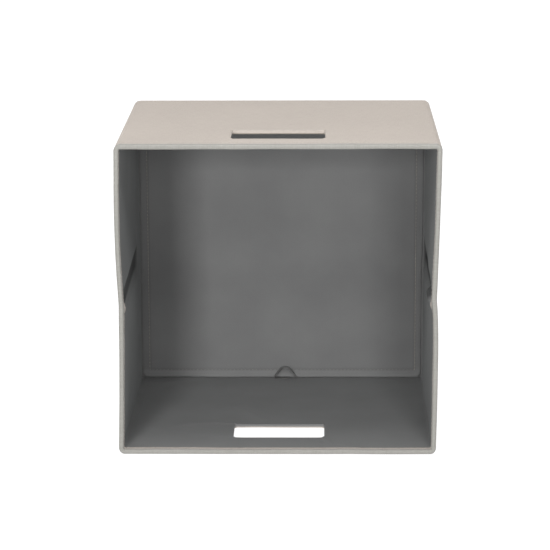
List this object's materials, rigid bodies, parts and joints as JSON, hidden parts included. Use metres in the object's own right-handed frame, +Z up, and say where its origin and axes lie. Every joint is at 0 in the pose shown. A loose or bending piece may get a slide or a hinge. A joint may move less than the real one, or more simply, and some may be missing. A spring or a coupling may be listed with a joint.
{
  "type": "collapsible fabric storage box",
  "caption": "Open cloth-covered storage box with hand slots, side walls creased to fold inwards, and a loose base board with a pull loop.",
  "frame": {"origin": "on the floor plane under the middle of the box, which lies on its lower slotted wall", "axes": "+Z up, +X to the right as one looks into the open side, +Y from the open side towards the base"},
  "size_m": [0.32, 0.2852, 0.315],
  "materials": {
    "outer_cloth": "matte",
    "lining_cloth": "matte",
    "greyboard": "matte",
    "ribbon": "matte"
  },
  "bodies": {
    "lower_wall": {"lower_cover": "outer_cloth", "lower_board": "greyboard", "lower_lining": "lining_cloth", "lower_hem": "outer_cloth", "lower_slot_facing": "lining_cloth", "base_cloth": "outer_cloth", "base_lining": "lining_cloth"},
    "left_lower": {"left_lower_cover": "outer_cloth", "left_lower_board": "greyboard", "left_lower_lining": "lining_cloth", "left_lower_hem": "outer_cloth", "left_crease_strip": "outer_cloth"},
    "left_upper": {"left_upper_cover": "outer_cloth", "left_upper_board": "greyboard", "left_upper_lining": "lining_cloth", "left_upper_hem": "outer_cloth"},
    "upper_wall": {"upper_cover": "outer_cloth", "upper_board": "greyboard", "upper_lining": "lining_cloth", "upper_hem": "outer_cloth", "upper_slot_facing": "lining_cloth"},
    "right_lower": {"right_lower_cover": "outer_cloth", "right_lower_board": "greyboard", "right_lower_lining": "lining_cloth", "right_lower_hem": "outer_cloth", "right_crease_strip": "outer_cloth"},
    "right_upper": {"right_upper_cover": "outer_cloth", "right_upper_board": "greyboard", "right_upper_lining": "lining_cloth", "right_upper_hem": "outer_cloth"},
    "base_insert": {"insert_board": "greyboard", "insert_front_sleeve": "lining_cloth", "insert_back_sleeve": "lining_cloth", "pull_loop": "ribbon"}
  },
  "joints": [
    {"name": "box_fold", "type": "hinge", "parent": "lower_wall", "child": "left_lower", "pos_m": [-0.1537, 0, 0.0063], "axis": [0, 1, 0], "range_deg": [0, 90], "deforming": ["base_cloth", "base_lining", "pull_loop"]},
    {"name": "left_crease", "type": "hinge", "parent": "left_lower", "child": "left_upper", "pos_m": [-0.1603, 0, 0.1575], "axis": [0, 1, 0], "range_deg": [-180, 0]},
    {"name": "upper_wall_fold", "type": "hinge", "parent": "left_upper", "child": "upper_wall", "pos_m": [-0.1537, 0, 0.3087], "axis": [0, 1, 0], "range_deg": [0, 90]},
    {"name": "right_fold", "type": "hinge", "parent": "lower_wall", "child": "right_lower", "pos_m": [0.1537, 0, 0.0063], "axis": [0, 1, 0], "range_deg": [-90, 0]},
    {"name": "right_crease", "type": "hinge", "parent": "right_lower", "child": "right_upper", "pos_m": [0.1603, 0, 0.1575], "axis": [0, 1, 0], "range_deg": [0, 180]},
    {"name": "insert_slide", "type": "slide", "parent": "lower_wall", "child": "base_insert", "axis": [0, -1, 0], "range_m": [0, 0.3]}
  ],
  "couplings": [
    {"joint": "left_crease", "follows": "box_fold", "ratio": -2},
    {"joint": "upper_wall_fold", "follows": "box_fold", "ratio": 1},
    {"joint": "right_fold", "follows": "box_fold", "ratio": -1},
    {"joint": "right_crease", "follows": "box_fold", "ratio": 2}
  ]
}
